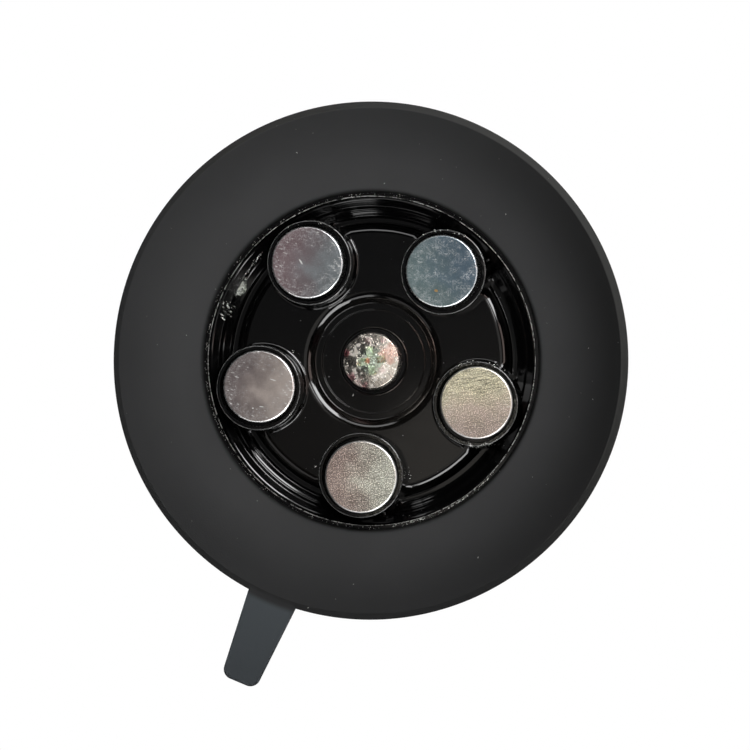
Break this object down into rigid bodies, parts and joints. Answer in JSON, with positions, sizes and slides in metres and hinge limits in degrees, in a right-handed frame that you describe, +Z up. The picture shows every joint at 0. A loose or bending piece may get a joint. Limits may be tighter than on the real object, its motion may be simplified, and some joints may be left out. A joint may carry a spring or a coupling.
{
  "type": "magnetic mount",
  "caption": "Round magnetic vacuum mount: a rubber suction ring with a pull tab round a black housing of glued disc magnets, with a central screw whose stud carries a lamp.",
  "frame": {"origin": "where the axis of the central stud meets the surface that the rubber lip stands on", "axes": "+Z up along the stud, away from the surface; -Y towards the pull tab"},
  "size_m": [0.143, 0.1675, 0.0513],
  "materials": {
    "ring_rubber": "matte",
    "black_gloss": "gloss",
    "magnet_plating": "satin",
    "zinc_plating": "polished",
    "seal_rubber": "satin"
  },
  "bodies": {
    "root": {"rubber_cup": "ring_rubber", "magnet_housing": "black_gloss", "magnet_1": "magnet_plating", "magnet_2": "magnet_plating", "magnet_3": "magnet_plating", "magnet_4": "magnet_plating", "magnet_5": "magnet_plating", "seal_washer": "seal_rubber", "centre_screw": "zinc_plating", "flat_washer": "zinc_plating", "spring_washer": "zinc_plating", "hex_nut": "zinc_plating"}
  },
  "joints": []
}
